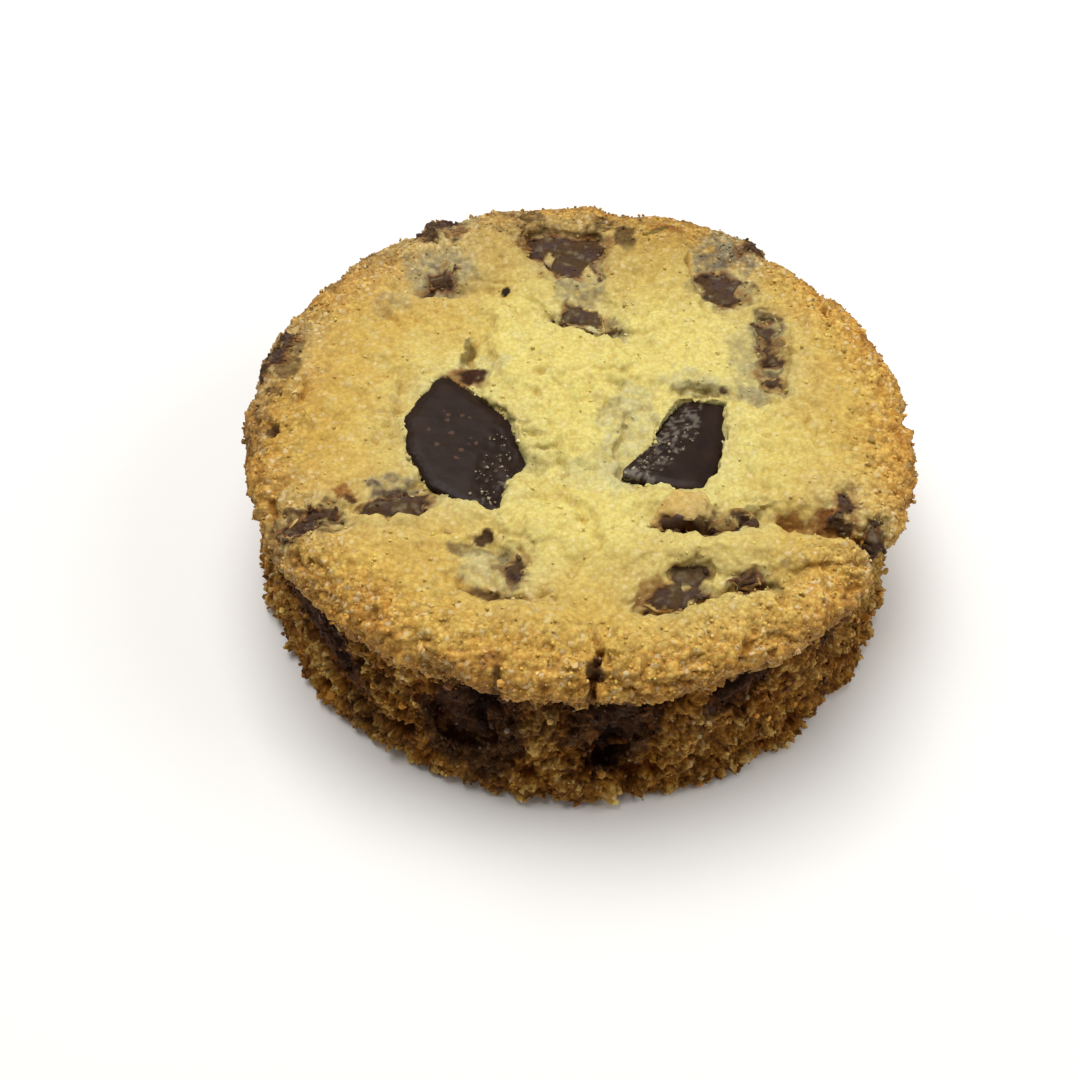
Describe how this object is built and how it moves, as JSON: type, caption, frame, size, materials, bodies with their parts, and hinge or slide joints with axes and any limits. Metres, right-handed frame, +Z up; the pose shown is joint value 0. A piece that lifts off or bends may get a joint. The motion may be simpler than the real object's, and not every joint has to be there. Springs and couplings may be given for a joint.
{
  "type": "chocolate chunk cookie",
  "caption": "Thick round baked cookie of pale, crumbly dough with a browned rim, dark chocolate chunks set in its top and wall, on a flat underside.",
  "frame": {"origin": "middle of the flat underside", "axes": "+Z up through the top crust; -Y points at the side of the wall with the two dark hollows"},
  "size_m": [0.0828, 0.0824, 0.0266],
  "materials": {
    "baked_dough": "matt, crumbly baked dough, browner at the rim",
    "dark_chocolate": "satin dark chocolate"
  },
  "bodies": {
    "root": {"chunk_back_left": "dark_chocolate", "chunk_back_left_inner": "dark_chocolate", "chunk_back_middle": "dark_chocolate", "chunk_back_right": "dark_chocolate", "chunk_front_right": "dark_chocolate", "chunk_front_right_small": "dark_chocolate", "chunk_front_small": "dark_chocolate", "chunk_left": "dark_chocolate", "chunk_left_front": "dark_chocolate", "chunk_left_rim_low": "dark_chocolate", "chunk_middle": "dark_chocolate", "chunk_right": "dark_chocolate", "chunk_right_chip": "dark_chocolate", "chunk_right_inner": "dark_chocolate", "chunk_right_low": "dark_chocolate", "chunk_rim_back_right": "dark_chocolate", "chunk_rim_left": "dark_chocolate", "chunk_rim_right": "dark_chocolate", "chunk_under_flap": "dark_chocolate", "chunk_wall_back": "dark_chocolate", "chunk_wall_back_left": "dark_chocolate", "chunk_wall_back_right": "dark_chocolate", "chunk_wall_front_left": "dark_chocolate", "chunk_wall_front_middle": "dark_chocolate", "chunk_wall_front_right": "dark_chocolate", "chunk_wall_left": "dark_chocolate", "chunk_wall_left_back": "dark_chocolate", "chunk_wall_left_upper": "dark_chocolate", "chunk_wall_right": "dark_chocolate", "chunk_wall_right_front": "dark_chocolate", "dough": "baked_dough"}
  },
  "joints": []
}
